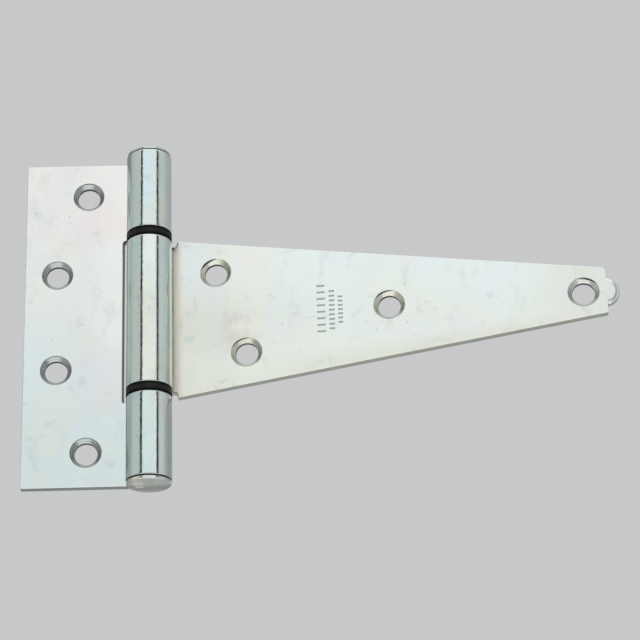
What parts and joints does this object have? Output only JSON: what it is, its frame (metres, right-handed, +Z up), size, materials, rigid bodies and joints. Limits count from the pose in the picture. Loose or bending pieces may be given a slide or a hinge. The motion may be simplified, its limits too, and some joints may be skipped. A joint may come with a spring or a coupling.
{
  "type": "t hinge",
  "caption": "Steel T hinge with a rectangular post leaf, a tapered strap leaf, a three-knuckle barrel on a riveted pin and black polymer bushings.",
  "frame": {"origin": "centre of the post leaf's flat back face", "axes": "+Z up along the pin, +X from the pin towards the strap's tip, +Y out of the backs of the leaves into the post, -Y the front where the barrel stands proud"},
  "size_m": [0.1934, 0.0198, 0.1173],
  "materials": {
    "zinc_sheet": "bright zinc plated sheet steel, faintly blue and yellow",
    "zinc_pin": "zinc plated, satin",
    "nylon": "moulded black polymer"
  },
  "bodies": {
    "post": {"post_leaf": "zinc_sheet", "hinge_pin": "zinc_pin"},
    "strap": {"strap_leaf": "zinc_sheet", "upper_bushing": "nylon", "lower_bushing": "nylon"}
  },
  "joints": [
    {"name": "strap_swing", "type": "hinge", "parent": "post", "child": "strap", "pos_m": [0.02508, -0.00745, 0], "axis": [0, 0, -1], "range_deg": [-100, 183]}
  ]
}
